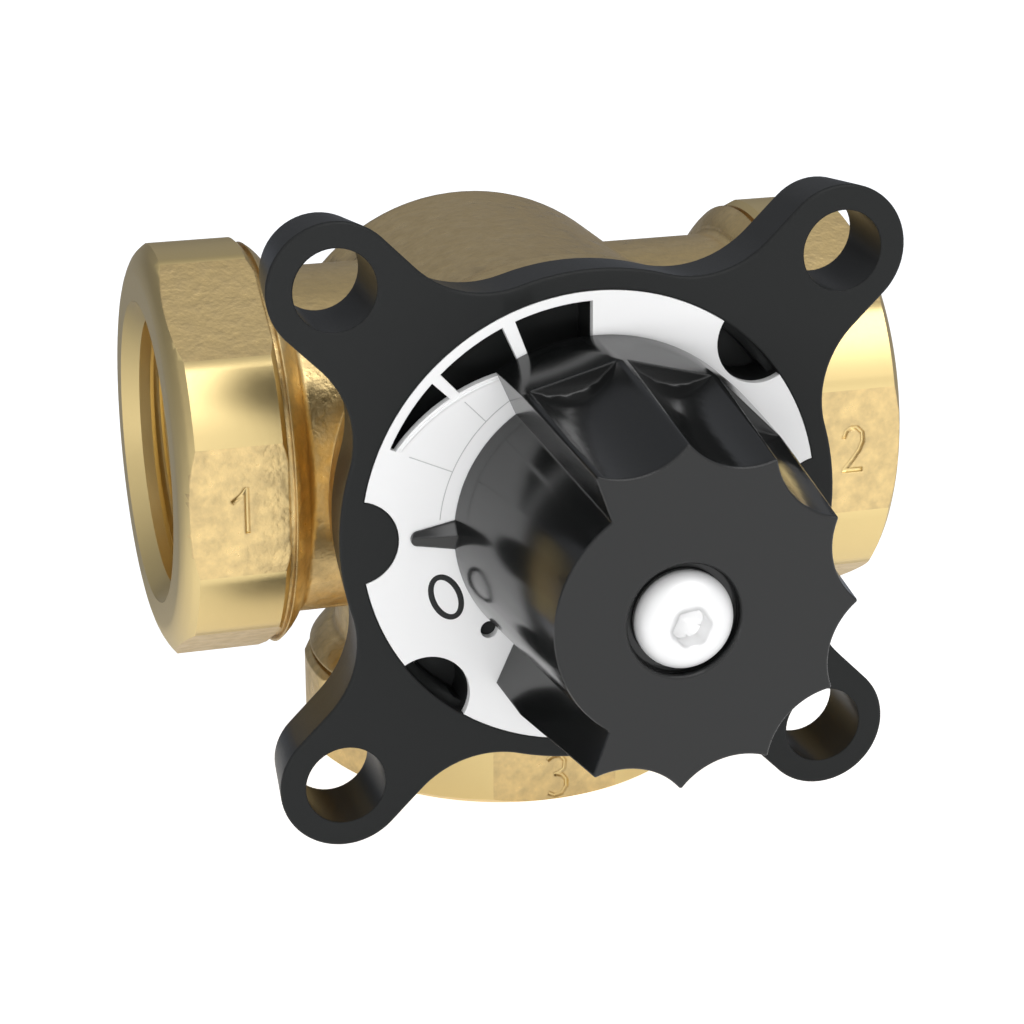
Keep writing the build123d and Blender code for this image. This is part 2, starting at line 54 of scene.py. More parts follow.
def linear(hexColour):
    # sRGB hex to the linear colour that shaders take
    values = []
    for start in (0, 2, 4):
        part = int(hexColour[start:start + 2], 16) / 255
        values.append(part / 12.92 if part <= 0.04045 else ((part + 0.055) / 1.055) ** 2.4)
    return (*values, 1.0)


def addNode(tree, kind, settings, inputs):
    node = tree.nodes.new(kind)
    for name, value in settings.items():
        setattr(node, name, value)
    for name, value in inputs.items():
        if isinstance(value, bpy.types.NodeSocket):
            tree.links.new(value, node.inputs[name])
        else:
            node.inputs[name].default_value = value
    return node


def newMaterial(name):
    material = bpy.data.materials.new(name)
    material.use_nodes = True
    material.node_tree.nodes.clear()
    return material, material.node_tree


def finishMaterial(tree, shader):
    addNode(tree, "ShaderNodeOutputMaterial", {}, {"Surface": shader.outputs[0]})


# Materials: sizes in metres. A single roughness is the middle of what its pattern gives.

# Every material but turned metal softens its edges over edgeRound, in the shading alone
edgeSamples = 4

# Sand-cast brass, shot blasted: a soft metal sheen, lightly mottled, with fine pits.
# The blasted grain itself is too fine to show, so it is drawn coarser than it is.
castBrassLook = {
    "name": "castBrass", "pale": "E9CC90", "dark": "CDB584", "stainSize": 0.0024,
    "stainDetail": 4.0, "stainRoughness": 0.55, "grainSize": 0.0007, "grainDetail": 2.0,
    "grainRoughness": 0.5, "grainShare": 0.25, "paleBelow": 0.42, "darkAbove": 0.84,
    "smoothBelow": 0.3, "roughAbove": 0.7, "smoothest": 0.27, "roughest": 0.43,
    "pitDepth": 0.00028, "pitStrength": 0.6, "edgeRound": 0.0005}


def makeCastBrass(look):
    material, tree = newMaterial(look["name"])
    place = addNode(tree, "ShaderNodeTexCoord", {}, {}).outputs["Object"]
    stains = addNode(tree, "ShaderNodeTexNoise", {}, {
        "Vector": place, "Scale": 1 / look["stainSize"], "Detail": look["stainDetail"],
        "Roughness": look["stainRoughness"]})
    grains = addNode(tree, "ShaderNodeTexNoise", {}, {
        "Vector": place, "Scale": 1 / look["grainSize"], "Detail": look["grainDetail"],
        "Roughness": look["grainRoughness"]})
    both = addNode(tree, "ShaderNodeMath", {"operation": "MULTIPLY_ADD"}, {
        0: grains.outputs["Fac"], 1: look["grainShare"], 2: stains.outputs["Fac"]})
    spread = addNode(tree, "ShaderNodeMapRange", {}, {
        "Value": both.outputs[0], "From Min": look["paleBelow"], "From Max": look["darkAbove"]})
    colour = addNode(tree, "ShaderNodeMix", {"data_type": "RGBA"}, {
        0: spread.outputs[0], 6: linear(look["pale"]), 7: linear(look["dark"])})
    rough = addNode(tree, "ShaderNodeMapRange", {}, {
        "Value": stains.outputs["Fac"], "From Min": look["smoothBelow"],
        "From Max": look["roughAbove"], "To Min": look["smoothest"], "To Max": look["roughest"]})
    softEdge = addNode(tree, "ShaderNodeBevel", {"samples": edgeSamples}, {
        "Radius": look["edgeRound"]})
    pits = addNode(tree, "ShaderNodeBump", {}, {
        "Height": both.outputs[0], "Strength": look["pitStrength"], "Distance": look["pitDepth"],
        "Normal": softEdge.outputs[0]})
    shader = addNode(tree, "ShaderNodeBsdfPrincipled", {}, {
        "Base Color": colour.outputs[2], "Metallic": 1.0, "Roughness": rough.outputs[0],
        "Normal": pits.outputs[0]})
    finishMaterial(tree, shader)
    return material


# Lathe-turned metal: even colour, clear highlights, the faintest tool marks
toolMarks = {
    "detail": 2.0, "smoothShare": 0.8, "roughShare": 1.2, "strength": 0.15, "depth": 0.00002}


def makeTurnedMetal(look):
    material, tree = newMaterial(look["name"])
    place = addNode(tree, "ShaderNodeTexCoord", {}, {}).outputs["Object"]
    marks = addNode(tree, "ShaderNodeTexNoise", {}, {
        "Vector": place, "Scale": 1 / look["markSize"], "Detail": toolMarks["detail"]})
    rough = addNode(tree, "ShaderNodeMapRange", {}, {
        "Value": marks.outputs["Fac"], "To Min": look["roughness"] * toolMarks["smoothShare"],
        "To Max": look["roughness"] * toolMarks["roughShare"]})
    marksBump = addNode(tree, "ShaderNodeBump", {}, {
        "Height": marks.outputs["Fac"], "Strength": toolMarks["strength"],
        "Distance": toolMarks["depth"]})
    shader = addNode(tree, "ShaderNodeBsdfPrincipled", {}, {
        "Base Color": linear(look["colour"]), "Metallic": look["metallic"],
        "Roughness": rough.outputs[0], "Normal": marksBump.outputs[0]})
    finishMaterial(tree, shader)
    return material


# Injection-moulded plastic: even colour, a soft sheen and a fine moulded grain
mouldGrain = {"detail": 2.0, "smoothShare": 0.85, "roughShare": 1.15, "strength": 0.2}


def makePlastic(look):
    material, tree = newMaterial(look["name"])
    place = addNode(tree, "ShaderNodeTexCoord", {}, {}).outputs["Object"]
    grain = addNode(tree, "ShaderNodeTexNoise", {}, {
        "Vector": place, "Scale": 1 / look["grainSize"], "Detail": mouldGrain["detail"]})
    rough = addNode(tree, "ShaderNodeMapRange", {}, {
        "Value": grain.outputs["Fac"], "To Min": look["roughness"] * mouldGrain["smoothShare"],
        "To Max": look["roughness"] * mouldGrain["roughShare"]})
    softEdge = addNode(tree, "ShaderNodeBevel", {"samples": edgeSamples}, {
        "Radius": look["edgeRound"]})
    bump = addNode(tree, "ShaderNodeBump", {}, {
        "Height": grain.outputs["Fac"], "Strength": mouldGrain["strength"],
        "Distance": look["grainDepth"], "Normal": softEdge.outputs[0]})
    shader = addNode(tree, "ShaderNodeBsdfPrincipled", {}, {
        "Base Color": linear(look["colour"]), "Roughness": rough.outputs[0],
        "Specular IOR Level": look["sheen"], "Normal": bump.outputs[0]})
    finishMaterial(tree, shader)
    return material


castBrass = makeCastBrass(castBrassLook)
# Brass off the lathe: pale yellow, brighter and more even than the casting
turnedBrass = makeTurnedMetal({
    "name": "turnedBrass", "colour": "E5CD92", "roughness": 0.36, "markSize": 0.0004,
    "metallic": 1.0})
# Bright zinc plate on the button head, near white with soft shading under the studio's light
zincPlate = makeTurnedMetal({
    "name": "zincPlate", "colour": "EFEFEF", "roughness": 0.42, "markSize": 0.0006,
    "metallic": 0.25})
# Turned stainless steel: neutral grey and the clearest highlights of the metals
stainlessSteel = makeTurnedMetal({
    "name": "stainlessSteel", "colour": "BFC0C0", "roughness": 0.28, "markSize": 0.0005,
    "metallic": 1.0})
# Black oxide on steel: a dark, dull metal
blackOxide = makeTurnedMetal({
    "name": "blackOxide", "colour": "1C1C1D", "roughness": 0.4, "markSize": 0.0005,
    "metallic": 1.0})
# Glass-filled nylon, eroded mould: charcoal, even and nearly without sheen
blackNylon = makePlastic({
    "name": "blackNylon", "colour": "262727", "roughness": 0.33, "grainSize": 0.0003,
    "grainDepth": 0.000001, "sheen": 0.12, "edgeRound": 0.0005})
# The same nylon from a polished mould: deep black with soft-edged highlights
knobNylon = makePlastic({
    "name": "knobNylon", "colour": "111212", "roughness": 0.16, "grainSize": 0.0004,
    "grainDepth": 0.000002, "sheen": 0.48, "edgeRound": 0.00045})
# White moulded plastic: a fine satin that mirrors the knob faintly
dialPlastic = makePlastic({
    "name": "dialPlastic", "colour": "F1F1F1", "roughness": 0.4, "grainSize": 0.0003,
    "grainDepth": 0.000006, "sheen": 0.5, "edgeRound": 0.0002})
# Pad-printed ink, black and grey: flat, with little shine
blackInk = makePlastic({
    "name": "blackInk", "colour": "262727", "roughness": 0.5, "grainSize": 0.0003,
    "grainDepth": 0.000004, "sheen": 0.3, "edgeRound": 0.0001})
greyInk = makePlastic({
    "name": "greyInk", "colour": "C2C3C3", "roughness": 0.5, "grainSize": 0.0003,
    "grainDepth": 0.000004, "sheen": 0.3, "edgeRound": 0.0001})
# Moulded seal rubber: dull black
sealRubber = makePlastic({
    "name": "sealRubber", "colour": "151515", "roughness": 0.6, "grainSize": 0.0003,
    "grainDepth": 0.00001, "sheen": 0.4, "edgeRound": 0.0002})
# Turned bearing plastic: an off-white satin
bearingPlastic = makePlastic({
    "name": "bearingPlastic", "colour": "E4E0D4", "roughness": 0.5, "grainSize": 0.0004,
    "grainDepth": 0.000006, "sheen": 0.4, "edgeRound": 0.0002})
print("materials made")


# Helpers for pieces

def addPiece(name, mesh, materials, bodyName):
    mesh.materials.clear()
    for material in materials:
        mesh.materials.append(material)
    piece = bpy.data.objects.new(name, mesh)
    bpy.context.scene.collection.objects.link(piece)
    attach(piece, bodyName)
    return piece


strokeDetail = {"roundness": 3, "weld": 0.0000001}


def strokeMesh(look, place):
    # Round strokes along lines of points, pressed flat by the look's own share
    curve = bpy.data.curves.new(look["name"], "CURVE")
    curve.dimensions = "3D"
    curve.bevel_depth = look["radius"]
    curve.bevel_resolution = strokeDetail["roundness"]
    curve.use_fill_caps = True
    for points in look["strokes"]:
        line = curve.splines.new("POLY")
        line.points.add(len(points) - 1)
        for index, (x, y) in enumerate(points):
            line.points[index].co = (x, y, 0, 1)
        line.use_cyclic_u = look["closed"]
    holder = bpy.data.objects.new(look["name"], curve)
    bpy.context.scene.collection.objects.link(holder)
    graph = bpy.context.evaluated_depsgraph_get()
    mesh = bpy.data.meshes.new_from_object(holder.evaluated_get(graph))
    bpy.data.objects.remove(holder)
    bpy.data.curves.remove(curve)
    shape = bmesh.new()
    shape.from_mesh(mesh)
    bmesh.ops.remove_doubles(shape, verts=shape.verts, dist=strokeDetail["weld"])
    bmesh.ops.transform(
        shape, matrix=place @ Matrix.Diagonal((1, 1, look["flat"], 1)), verts=shape.verts)
    shape.to_mesh(mesh)
    shape.free()
    for face in mesh.polygons:
        face.use_smooth = True
    return mesh


def arcPoints(radius, start, end, count):
    points = []
    for step in range(count + 1):
        angle = math.radians(start + (end - start) * step / count)
        points.append((radius * math.cos(angle), radius * math.sin(angle)))
    return points


# The plain numbers 1, 2 and 3 that are cast into the front flats, one for each port

digitLook = {
    "name": "digitGroove", "radius": 0.0004, "flat": 1.0, "closed": False,
    "height": 0.0074, "width": 0.0036}
digitStrokes = {
    "1": [[(0.0, 0.7), (0.4, 0.84), (0.66, 1.0)], [(0.66, 1.02), (0.66, 0.0)]],
    "2": [[(0.0, 0.76), (0.12, 0.92), (0.36, 1.0), (0.66, 0.99), (0.92, 0.86), (0.95, 0.66),
           (0.8, 0.46), (0.45, 0.22), (0.06, 0.0)], [(0.0, 0.0), (1.0, 0.0)]],
    "3": [[(0.03, 0.9), (0.3, 0.99), (0.66, 0.98), (0.88, 0.84), (0.84, 0.64), (0.6, 0.55),
           (0.35, 0.53)], [(0.5, 0.53), (0.78, 0.49), (0.95, 0.36), (0.95, 0.2), (0.74, 0.04),
           (0.4, 0.0), (0.08, 0.08)]]}
digitCentres = {"1": (-0.0511, 0.0001), "2": (0.0515, 0.0004), "3": (0.0004, -0.0524)}


def digitCutters():
    # In the front frame, with the grooves' centre lines on the hexagons' front flats
    cutters = []
    level = layout["hexagonFlats"] / 2 - layout["portDepth"]
    for digit, strokes in digitStrokes.items():
        middleX, middleY = digitCentres[digit]
        for points in strokes:
            line = []
            for x, y in points:
                line.append((middleX + (x - 0.5) * digitLook["width"],
                             middleY + (y - 0.5) * digitLook["height"]))
            look = dict(digitLook, strokes=[line])
            cutters.append(strokeMesh(look, frontPlace @ Matrix.Translation((0, 0, level))))
    return cutters


def cutAway(mesh, cutters):
    holder = bpy.data.objects.new("cutHolder", mesh)
    bpy.context.scene.collection.objects.link(holder)
    tools = []
    for cutter in cutters:
        tool = bpy.data.objects.new("cutTool", cutter)
        bpy.context.scene.collection.objects.link(tool)
        tools.append(tool)
        cut = holder.modifiers.new("cut", "BOOLEAN")
        cut.operation = "DIFFERENCE"
        cut.solver = "EXACT"
        cut.object = tool
    graph = bpy.context.evaluated_depsgraph_get()
    result = bpy.data.meshes.new_from_object(holder.evaluated_get(graph))
    for used in [holder] + tools:
        bpy.data.objects.remove(used)
    return result


# Shapes carried over from the CAD nodes: lengths in metres, angles in degrees

copyDetail = {"weld": 0.000002, "planeAngle": 0.3}


def smoothCopy(look):
    # A merged copy of a node, smooth where its facets nearly agree, with true flat faces
    shape = bmesh.new()
    shape.from_mesh(nodes[look["node"]].data)
    bmesh.ops.remove_doubles(shape, verts=shape.verts, dist=copyDetail["weld"])
    if look["joinPlanes"]:
        bmesh.ops.dissolve_limit(
            shape, angle_limit=math.radians(copyDetail["planeAngle"]), verts=shape.verts,
            edges=shape.edges, delimit={"NORMAL"})
    mesh = bpy.data.meshes.new(look["name"])
    shape.to_mesh(mesh)
    shape.free()
    if look["cutters"]:
        mesh = cutAway(mesh, look["cutters"])
        mesh.name = look["name"]
    for face in mesh.polygons:
        face.use_smooth = True
    mesh.set_sharp_from_angle(angle=math.radians(look["sharpAngle"]))
    piece = addPiece(look["name"], mesh, look["materials"], look["body"])
    flats = piece.modifiers.new("flatFaces", "WEIGHTED_NORMAL")
    flats.keep_sharp = True
    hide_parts(look["node"])
    return piece


castingLook = {
    "node": "valve_body", "name": "brassCasting", "materials": [castBrass, turnedBrass],
    "body": "valve", "joinPlanes": True, "sharpAngle": 28,
    "cutters": digitCutters(), "endStart": 0.0438, "endReach": 0.02, "lowEndStart": 0.0172,
    "flatTolerance": 0.00006, "flatFacing": 0.999, "digitRim": 0.0006}
flangeLook = {
    "node": "mounting_flange", "name": "flangeMoulding", "materials": [blackNylon],
    "body": "valve", "joinPlanes": True, "sharpAngle": 28, "cutters": []}
dialLook = {
    "node": "dial_plate", "name": "dialMoulding", "materials": [dialPlastic],
    "body": "valve", "joinPlanes": True, "sharpAngle": 28, "cutters": []}
knobLook = {
    "node": "knob", "name": "knobMoulding", "materials": [knobNylon],
    "body": "hand_knob", "joinPlanes": True, "sharpAngle": 20, "cutters": []}
knobScrewLook = {
    "node": "knob_screw", "name": "knobButtonScrew", "materials": [zincPlate],
    "body": "hand_knob", "joinPlanes": False, "sharpAngle": 28, "cutters": []}

castingPiece = smoothCopy(castingLook)
for otherLook in (flangeLook, dialLook, knobLook, knobScrewLook):
    smoothCopy(otherLook)


def markTurnedFaces(mesh, look):
    # The hexagon ends are turned except on their flats, which stay as cast, numbers and all.
    # A face further out than endStart less endReach is a side port's, and others are port 3's.
    apothem = layout["hexagonFlats"] / 2
    for face in mesh.polygons:
        centre, normal = face.center, face.normal
        if abs(centre.x) > look["endStart"] - look["endReach"]:
            past = abs(centre.x) > look["endStart"]
            across = (centre.y, centre.z - layout["runHeight"])
            facing = (normal.y, normal.z)
        else:
            past = centre.z < look["lowEndStart"]
            across = (centre.x, centre.y)
            facing = (normal.x, normal.y)
        outward = across[0] * facing[0] + across[1] * facing[1]
        alongPort = math.hypot(*facing) > look["flatFacing"]
        onFlat = alongPort and abs(outward - apothem) < look["flatTolerance"]
        nearFlat = math.hypot(*across) < apothem + look["digitRim"]
        inDigit = not alongPort and nearFlat and abs(centre.y + apothem) < digitLook["radius"]
        face.material_index = 1 if past and not onFlat and not inDigit else 0


markTurnedFaces(castingPiece.data, castingLook)

nodeMaterials = {
    "bonnet": turnedBrass, "bonnet_oring": sealRubber, "cover_screws": blackOxide,
    "front_bush": bearingPlastic, "rear_bush": bearingPlastic,
    "front_thrust_washer": bearingPlastic, "rear_thrust_washer": bearingPlastic,
    "spindle_oring_inner": sealRubber, "spindle_oring_outer": sealRubber,
    "seal_spacer": bearingPlastic, "seal_retainer": turnedBrass, "stop_pins": stainlessSteel,
    "spindle": stainlessSteel, "rotor": turnedBrass, "rotor_pin": stainlessSteel,
    "retaining_ring": blackOxide, "stop_plate": zincPlate, "knob_insert": turnedBrass}
for nodeName, material in nodeMaterials.items():
    nodes[nodeName].data.materials.clear()
    nodes[nodeName].data.materials.append(material)
print("CAD shapes dressed")


# Pipe threads: a countersunk lead-in, then a ridge wound round each port's bore

threadLook = {
    "name": "pipeThread", "material": turnedBrass, "pitch": 0.002309, "depth": 0.00148,
    "turns": 6.0, "stepsPerTurn": 96, "start": 0.0056, "sunk": 0.0002, "fadeTurns": 0.5,
    "rootShare": 0.9, "crestShare": 0.16, "sharpAngle": 28,
    "lead": ((0.02498, 0.00006), (0.02242, 0.0027), (0.02242, 0.0046), (0.0240, 0.0056))}


def makeThread(number, place, look):
    # Along +Z from the mouth into the bore, with the ridge fading in and out at its ends
    vertices, faces = [], []
    leadCount = len(look["lead"])
    for step in range(look["stepsPerTurn"]):
        angle = step / look["stepsPerTurn"] * 2 * math.pi
        for radius, level in look["lead"]:
            vertices.append(place @ Vector((
                radius * math.cos(angle), radius * math.sin(angle), -level)))
    for step in range(look["stepsPerTurn"]):
        first = step * leadCount
        following = (step + 1) % look["stepsPerTurn"] * leadCount
        for side in range(leadCount - 1):
            faces.append((first + side, first + side + 1, following + side + 1,
                          following + side))
    ridgeStart = len(vertices)
    steps = round(look["turns"] * look["stepsPerTurn"])
    rootRadius = layout["threadRadius"] + look["sunk"]
    rootHalf = look["rootShare"] * look["pitch"] / 2
    crestHalf = look["crestShare"] * look["pitch"] / 2
    for step in range(steps + 1):
        turn = step / look["stepsPerTurn"]
        fade = min(1.0, turn / look["fadeTurns"], (look["turns"] - turn) / look["fadeTurns"])
        crestRadius = layout["threadRadius"] - look["depth"] * fade
        level = look["start"] + turn * look["pitch"]
        angle = turn * 2 * math.pi
        section = ((rootRadius, -rootHalf), (crestRadius, -crestHalf),
                   (crestRadius, crestHalf), (rootRadius, rootHalf))
        for radius, offset in section:
            vertices.append(place @ Vector((
                radius * math.cos(angle), radius * math.sin(angle), -(level + offset))))
    for step in range(steps):
        for side in range(len(section) - 1):
            corner = ridgeStart + step * len(section) + side
            following = corner + len(section)
            faces.append((corner, corner + 1, following + 1, following))
    mesh = bpy.data.meshes.new(look["name"] + number)
    mesh.from_pydata(vertices, [], faces)
    for face in mesh.polygons:
        face.use_smooth = True
    mesh.update()
    mesh.set_sharp_from_angle(angle=math.radians(look["sharpAngle"]))
    addPiece(look["name"] + number, mesh, [look["material"]], "valve")


axisPlace = Matrix.Translation((0, 0, layout["runHeight"]))
portPlaces = {
    "1": axisPlace @ Matrix.Rotation(-math.pi / 2, 4, "Y") @ Matrix.Translation(
        (0, 0, layout["halfRun"])),
    "2": axisPlace @ Matrix.Rotation(math.pi / 2, 4, "Y") @ Matrix.Translation(
        (0, 0, layout["halfRun"])),
    "3": Matrix.Rotation(math.pi, 4, "X")}
for number, place in portPlaces.items():
    makeThread(number, place, threadLook)
print("pipe threads made")


# Marks on the dial

dialMarks = {
    "name": "dialRays", "material": greyInk, "count": 3, "firstAngle": 112.5, "stepAngle": 21.6,
    "innerRadius": 0.0246, "firstLength": 0.0022, "lengthStep": 0.0026, "width": 0.00015,
    "height": 0.00003, "arcStart": 100.0, "arcEnd": 174.0, "arcSteps": 48, "arcFlat": 0.3}


def buildRays(look):
    # Thin radial lines at even angles, each longer than the one before
    tree = bpy.data.node_groups.new(look["name"], "GeometryNodeTree")
    sockets = {}
    for label, kind in (("Count", "NodeSocketInt"), ("First Angle", "NodeSocketFloat"),
                        ("Step Angle", "NodeSocketFloat"), ("Inner Radius", "NodeSocketFloat"),
                        ("First Length", "NodeSocketFloat"), ("Length Step", "NodeSocketFloat"),
                        ("Width", "NodeSocketFloat"), ("Height", "NodeSocketFloat")):
        sockets[label] = tree.interface.new_socket(label, in_out="INPUT", socket_type=kind)
    tree.interface.new_socket("Geometry", in_out="OUTPUT", socket_type="NodeSocketGeometry")
    given = addNode(tree, "NodeGroupInput", {}, {}).outputs
    index = addNode(tree, "GeometryNodeInputIndex", {}, {}).outputs[0]
    angle = addNode(tree, "ShaderNodeMath", {"operation": "MULTIPLY_ADD"}, {
        0: index, 1: given["Step Angle"], 2: given["First Angle"]}).outputs[0]
    length = addNode(tree, "ShaderNodeMath", {"operation": "MULTIPLY_ADD"}, {
        0: index, 1: given["Length Step"], 2: given["First Length"]}).outputs[0]
    reach = addNode(tree, "ShaderNodeMath", {"operation": "MULTIPLY_ADD"}, {
        0: length, 1: 0.5, 2: given["Inner Radius"]}).outputs[0]
    out = addNode(tree, "ShaderNodeCombineXYZ", {}, {"X": reach}).outputs[0]
    turn = addNode(tree, "ShaderNodeCombineXYZ", {}, {"Z": angle}).outputs[0]
    place = addNode(tree, "ShaderNodeVectorRotate", {"rotation_type": "Z_AXIS"}, {
        "Vector": out, "Angle": angle}).outputs[0]
    points = addNode(tree, "GeometryNodePoints", {}, {
        "Count": given["Count"], "Position": place}).outputs[0]
    sides = addNode(tree, "ShaderNodeCombineXYZ", {}, {
        "X": 1.0, "Y": given["Width"], "Z": given["Height"]}).outputs[0]
    bar = addNode(tree, "GeometryNodeMeshCube", {}, {"Size": sides}).outputs["Mesh"]
    stretch = addNode(tree, "ShaderNodeCombineXYZ", {}, {
        "X": length, "Y": 1.0, "Z": 1.0}).outputs[0]
    copies = addNode(tree, "GeometryNodeInstanceOnPoints", {}, {
        "Points": points, "Instance": bar, "Rotation": turn, "Scale": stretch}).outputs[0]
    real = addNode(tree, "GeometryNodeRealizeInstances", {}, {"Geometry": copies}).outputs[0]
    dressed = addNode(tree, "GeometryNodeSetMaterial", {}, {
        "Geometry": real, "Material": look["material"]}).outputs[0]
    addNode(tree, "NodeGroupOutput", {}, {"Geometry": dressed})
    return tree, sockets


def makeRays(look):
    tree, sockets = buildRays(look)
    holder = bpy.data.objects.new("raysHolder", bpy.data.meshes.new("raysHolder"))
    bpy.context.scene.collection.objects.link(holder)
    rays = holder.modifiers.new("rays", "NODES")
    rays.node_group = tree
    values = {
        "Count": look["count"], "First Angle": math.radians(look["firstAngle"]),
        "Step Angle": math.radians(look["stepAngle"]), "Inner Radius": look["innerRadius"],
        "First Length": look["firstLength"], "Length Step": look["lengthStep"],
        "Width": look["width"], "Height": look["height"]}
    for label, value in values.items():
        rays[sockets[label].identifier] = value
    graph = bpy.context.evaluated_depsgraph_get()
    mesh = bpy.data.meshes.new_from_object(holder.evaluated_get(graph))
    bpy.data.objects.remove(holder)
    mesh.transform(frontPlace)
    addPiece(look["name"], mesh, [look["material"]], "valve")


makeRays(dialMarks)
arcLook = {
    "name": "dialArc", "radius": dialMarks["width"] / 2, "flat": dialMarks["arcFlat"],
    "closed": False, "strokes": [arcPoints(
        dialMarks["innerRadius"], dialMarks["arcStart"], dialMarks["arcEnd"],
        dialMarks["arcSteps"])]}
addPiece(arcLook["name"], strokeMesh(arcLook, frontPlace), [greyInk], "valve")

# The raised lip along the inner edge of the dial's window
lipLook = {
    "name": "windowLip", "radius": 0.00028, "flat": 0.8, "closed": False, "inset": 0.0006,
    "startRadius": 0.0244, "endRadius": 0.0343, "startAngle": 92.0, "endAngle": 155.0,
    "steps": 48}


def lipPoints(look):
    points = []
    for step in range(look["steps"] + 1):
        share = step / look["steps"]
        radius = look["startRadius"] + (look["endRadius"] - look["startRadius"]) * share
        angle = math.radians(look["startAngle"] + (look["endAngle"] - look["startAngle"]) * share)
        points.append(((radius - look["inset"]) * math.cos(angle),
                       (radius - look["inset"]) * math.sin(angle)))
    return points


lipLook["strokes"] = [lipPoints(lipLook)]
addPiece(lipLook["name"], strokeMesh(lipLook, frontPlace), [dialPlastic], "valve")

# A plain zero printed on the dial
zeroLook = {
    "name": "dialZero", "radius": 0.00046, "flat": 0.06, "closed": True, "tilt": 24.0,
    "centre": (-0.0236, -0.0102), "halfWidth": 0.0021, "halfHeight": 0.0036, "steps": 48}


def zeroPoints(look):
    points = []
    tilt = math.radians(look["tilt"])
    lastAngle = 360 - 360 / look["steps"]
    for x, y in arcPoints(1.0, 0, lastAngle, look["steps"] - 1):
        wide, high = x * look["halfWidth"], y * look["halfHeight"]
        points.append((look["centre"][0] + wide * math.cos(tilt) - high * math.sin(tilt),
                       look["centre"][1] + wide * math.sin(tilt) + high * math.cos(tilt)))
    return points


zeroLook["strokes"] = [zeroPoints(zeroLook)]
addPiece(zeroLook["name"], strokeMesh(zeroLook, frontPlace), [blackInk], "valve")
print("dial marks made")


# Stage, lights and camera

# The floor's behind colour is painted shade, and its glossy glow is a painted reflection
floorLook = {
    "half": 3.0, "front": "F6F6F6", "behind": "ACB0B9", "behindFrom": 0.1, "frontFrom": -0.05,
    "seenGlow": 0.9, "paintedReflectionGlow": 0.57}


def makeStage():
    # Pale floor, painted greyer behind the valve as painted shade for the metal to mirror, and
    # glowing in front for glossy rays alone as a painted reflection; the camera sees it near
    # white
    floorMesh = bpy.data.meshes.new("studioFloor")
    half = floorLook["half"]
    corners = [(-half, -half, 0), (half, -half, 0), (half, half, 0), (-half, half, 0)]
    floorMesh.from_pydata(corners, [], [(0, 1, 2, 3)])
    floor = bpy.data.objects.new("studioFloor", floorMesh)
    bpy.context.scene.collection.objects.link(floor)
    material, tree = newMaterial("floorPaint")
    path = addNode(tree, "ShaderNodeLightPath", {}, {})
    parts = addNode(tree, "ShaderNodeSeparateXYZ", {}, {
        0: addNode(tree, "ShaderNodeTexCoord", {}, {}).outputs["Object"]})
    inFront = addNode(tree, "ShaderNodeMapRange", {"interpolation_type": "SMOOTHSTEP"}, {
        "Value": parts.outputs["Y"], "From Min": floorLook["behindFrom"],
        "From Max": floorLook["frontFrom"]})
    # Painted shade: the floor turns greyer behind the valve, so back-facing metal mirrors a
    # darker floor
    colour = addNode(tree, "ShaderNodeMix", {"data_type": "RGBA"}, {
        0: inFront.outputs[0], 6: linear(floorLook["behind"]), 7: linear(floorLook["front"])})
    paint = addNode(tree, "ShaderNodeBsdfDiffuse", {}, {"Color": colour.outputs[2]})
    # Painted reflection: in front of the valve the floor glows for glossy rays alone, so brass
    # and plastic faces mirror a bright floor
    mirrored = addNode(tree, "ShaderNodeMath", {"operation": "MULTIPLY"}, {
        0: path.outputs["Is Glossy Ray"], 1: inFront.outputs[0]})
    paintedReflectionGlow = addNode(tree, "ShaderNodeMath", {"operation": "MULTIPLY"}, {
        0: mirrored.outputs[0], 1: floorLook["paintedReflectionGlow"]})
    strength = addNode(tree, "ShaderNodeMath", {"operation": "MULTIPLY_ADD"}, {
        0: path.outputs["Is Camera Ray"], 1: floorLook["seenGlow"], 2: paintedReflectionGlow.outputs[0]})
    glow = addNode(tree, "ShaderNodeEmission", {}, {
        "Color": (1, 1, 1, 1), "Strength": strength.outputs[0]})
    both = addNode(tree, "ShaderNodeAddShader", {}, {
        0: paint.outputs[0], 1: glow.outputs[0]})
    finishMaterial(tree, both)
    floorMesh.materials.append(material)


worldLook = {
    "horizon": (0.1, 0.103, 0.11, 1.0), "behind": (0.3, 0.31, 0.33, 1.0),
    "front": (1.03, 1.03, 1.03, 1.0), "sideSpan": 0.75, "horizonTop": 0.02, "skyStart": 0.3}


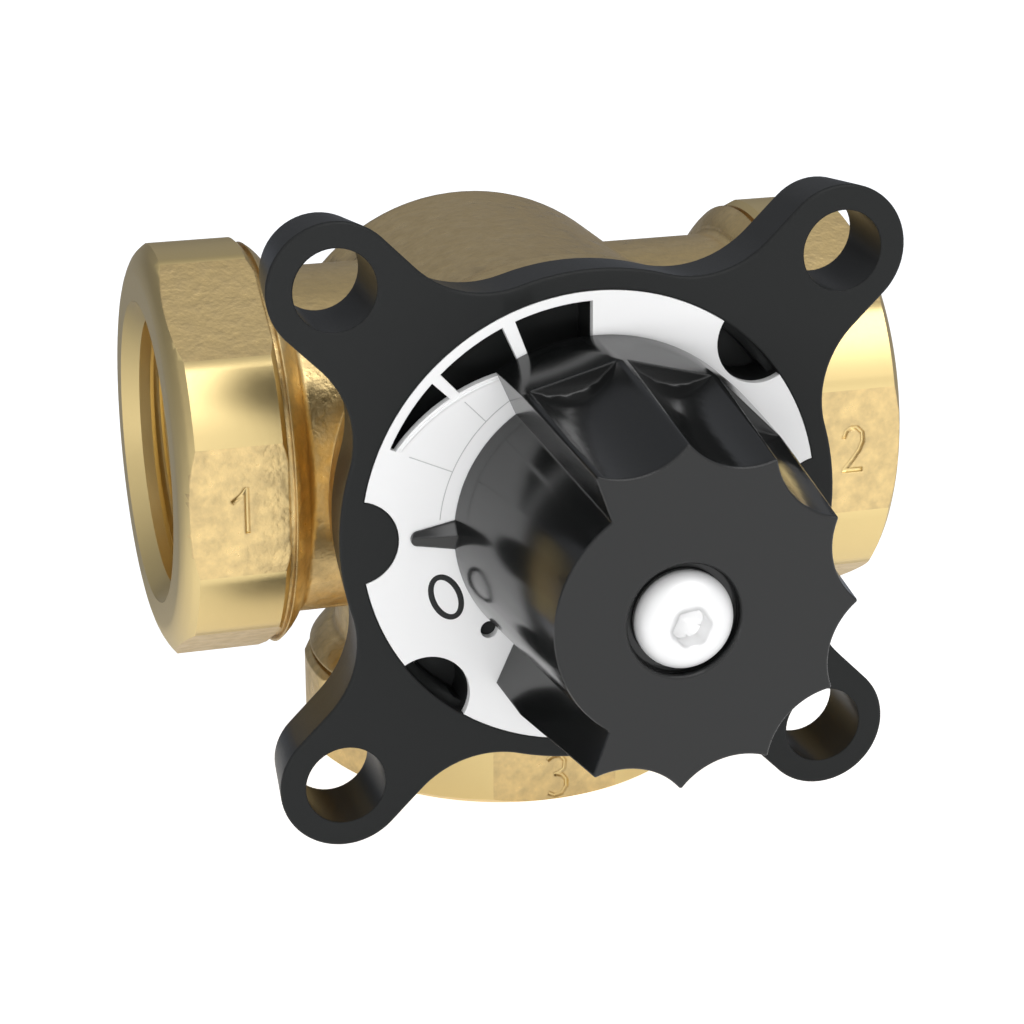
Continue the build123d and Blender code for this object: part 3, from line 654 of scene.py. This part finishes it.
def makeWorld():
    # A white studio, brighter on the camera's side, and darkest low behind the valve
    world = bpy.data.worlds.new("studioWorld")
    world.use_nodes = True
    bpy.context.scene.world = world
    tree = world.node_tree
    tree.nodes.clear()
    path = addNode(tree, "ShaderNodeLightPath", {}, {})
    seen = addNode(tree, "ShaderNodeMath", {"operation": "MAXIMUM"}, {
        0: path.outputs["Is Camera Ray"], 1: path.outputs["Is Transmission Ray"]})
    towards = addNode(tree, "ShaderNodeTexCoord", {}, {}).outputs["Generated"]
    parts = addNode(tree, "ShaderNodeSeparateXYZ", {}, {0: towards})
    spread = addNode(tree, "ShaderNodeMapRange", {"interpolation_type": "SMOOTHSTEP"}, {
        "Value": parts.outputs["Y"], "From Min": worldLook["sideSpan"],
        "From Max": -worldLook["sideSpan"]})
    height = addNode(tree, "ShaderNodeMapRange", {"interpolation_type": "SMOOTHSTEP"}, {
        "Value": parts.outputs["Z"], "From Min": worldLook["horizonTop"],
        "From Max": worldLook["skyStart"]})
    behind = addNode(tree, "ShaderNodeMix", {"data_type": "RGBA"}, {
        0: height.outputs[0], 6: worldLook["horizon"], 7: worldLook["behind"]})
    colour = addNode(tree, "ShaderNodeMix", {"data_type": "RGBA"}, {
        0: spread.outputs[0], 6: behind.outputs[2], 7: worldLook["front"]})
    soft = addNode(tree, "ShaderNodeBackground", {}, {"Color": colour.outputs[2]})
    white = addNode(tree, "ShaderNodeBackground", {}, {"Color": (1, 1, 1, 1), "Strength": 1.0})
    mix = addNode(tree, "ShaderNodeMixShader", {}, {
        0: seen.outputs[0], 1: soft.outputs[0], 2: white.outputs[0]})
    addNode(tree, "ShaderNodeOutputWorld", {}, {"Surface": mix.outputs[0]})


def addLamp(look):
    lamp = bpy.data.lights.new(look["name"], "AREA")
    lamp.shape = "RECTANGLE"
    lamp.size, lamp.size_y = look["size"]
    lamp.energy = look["power"]
    holder = bpy.data.objects.new(look["name"], lamp)
    bpy.context.scene.collection.objects.link(holder)
    place = Vector(look["place"])
    holder.location = place
    holder.rotation_euler = (Vector(look["target"]) - place).to_track_quat("-Z", "Y").to_euler()
    holder.visible_diffuse = look["lightsPlain"]
    holder.visible_glossy = look["lightsShiny"]


# The softbox makes the highlights, and the low fill keeps the knob's shadow off the dial
softboxLook = {
    "name": "frontSoftbox", "place": (0.26, -0.62, 0.92), "target": (0, 0, 0.058),
    "size": (0.9, 0.66), "power": 4.6, "lightsPlain": False, "lightsShiny": True}
fillLook = {
    "name": "lowFill", "place": (-0.24, -0.8, 0.03), "target": (0, 0, 0.058),
    "size": (0.7, 0.16), "power": 3.8, "lightsPlain": True, "lightsShiny": False}
view = {
    "place": (-0.1285, -0.4429, 0.2117), "ahead": (0.2654, 0.8995, -0.3471),
    "focalPixels": 2836.0, "imagePixels": 1024, "sensor": 36.0, "nearest": 0.01}


def makeCamera():
    # The photograph's own view point, found from the flange's square of holes
    camera = bpy.data.cameras.new("photoCamera")
    camera.sensor_width = view["sensor"]
    camera.lens = view["focalPixels"] / view["imagePixels"] * view["sensor"]
    camera.clip_start = view["nearest"]
    holder = bpy.data.objects.new("photoCamera", camera)
    bpy.context.scene.collection.objects.link(holder)
    holder.location = view["place"]
    holder.rotation_euler = Vector(view["ahead"]).to_track_quat("-Z", "Y").to_euler()
    bpy.context.scene.camera = holder


makeStage()
makeWorld()
addLamp(softboxLook)
addLamp(fillLook)
makeCamera()
bpy.context.scene.view_settings.view_transform = "Standard"
print("stage, lights and camera set")
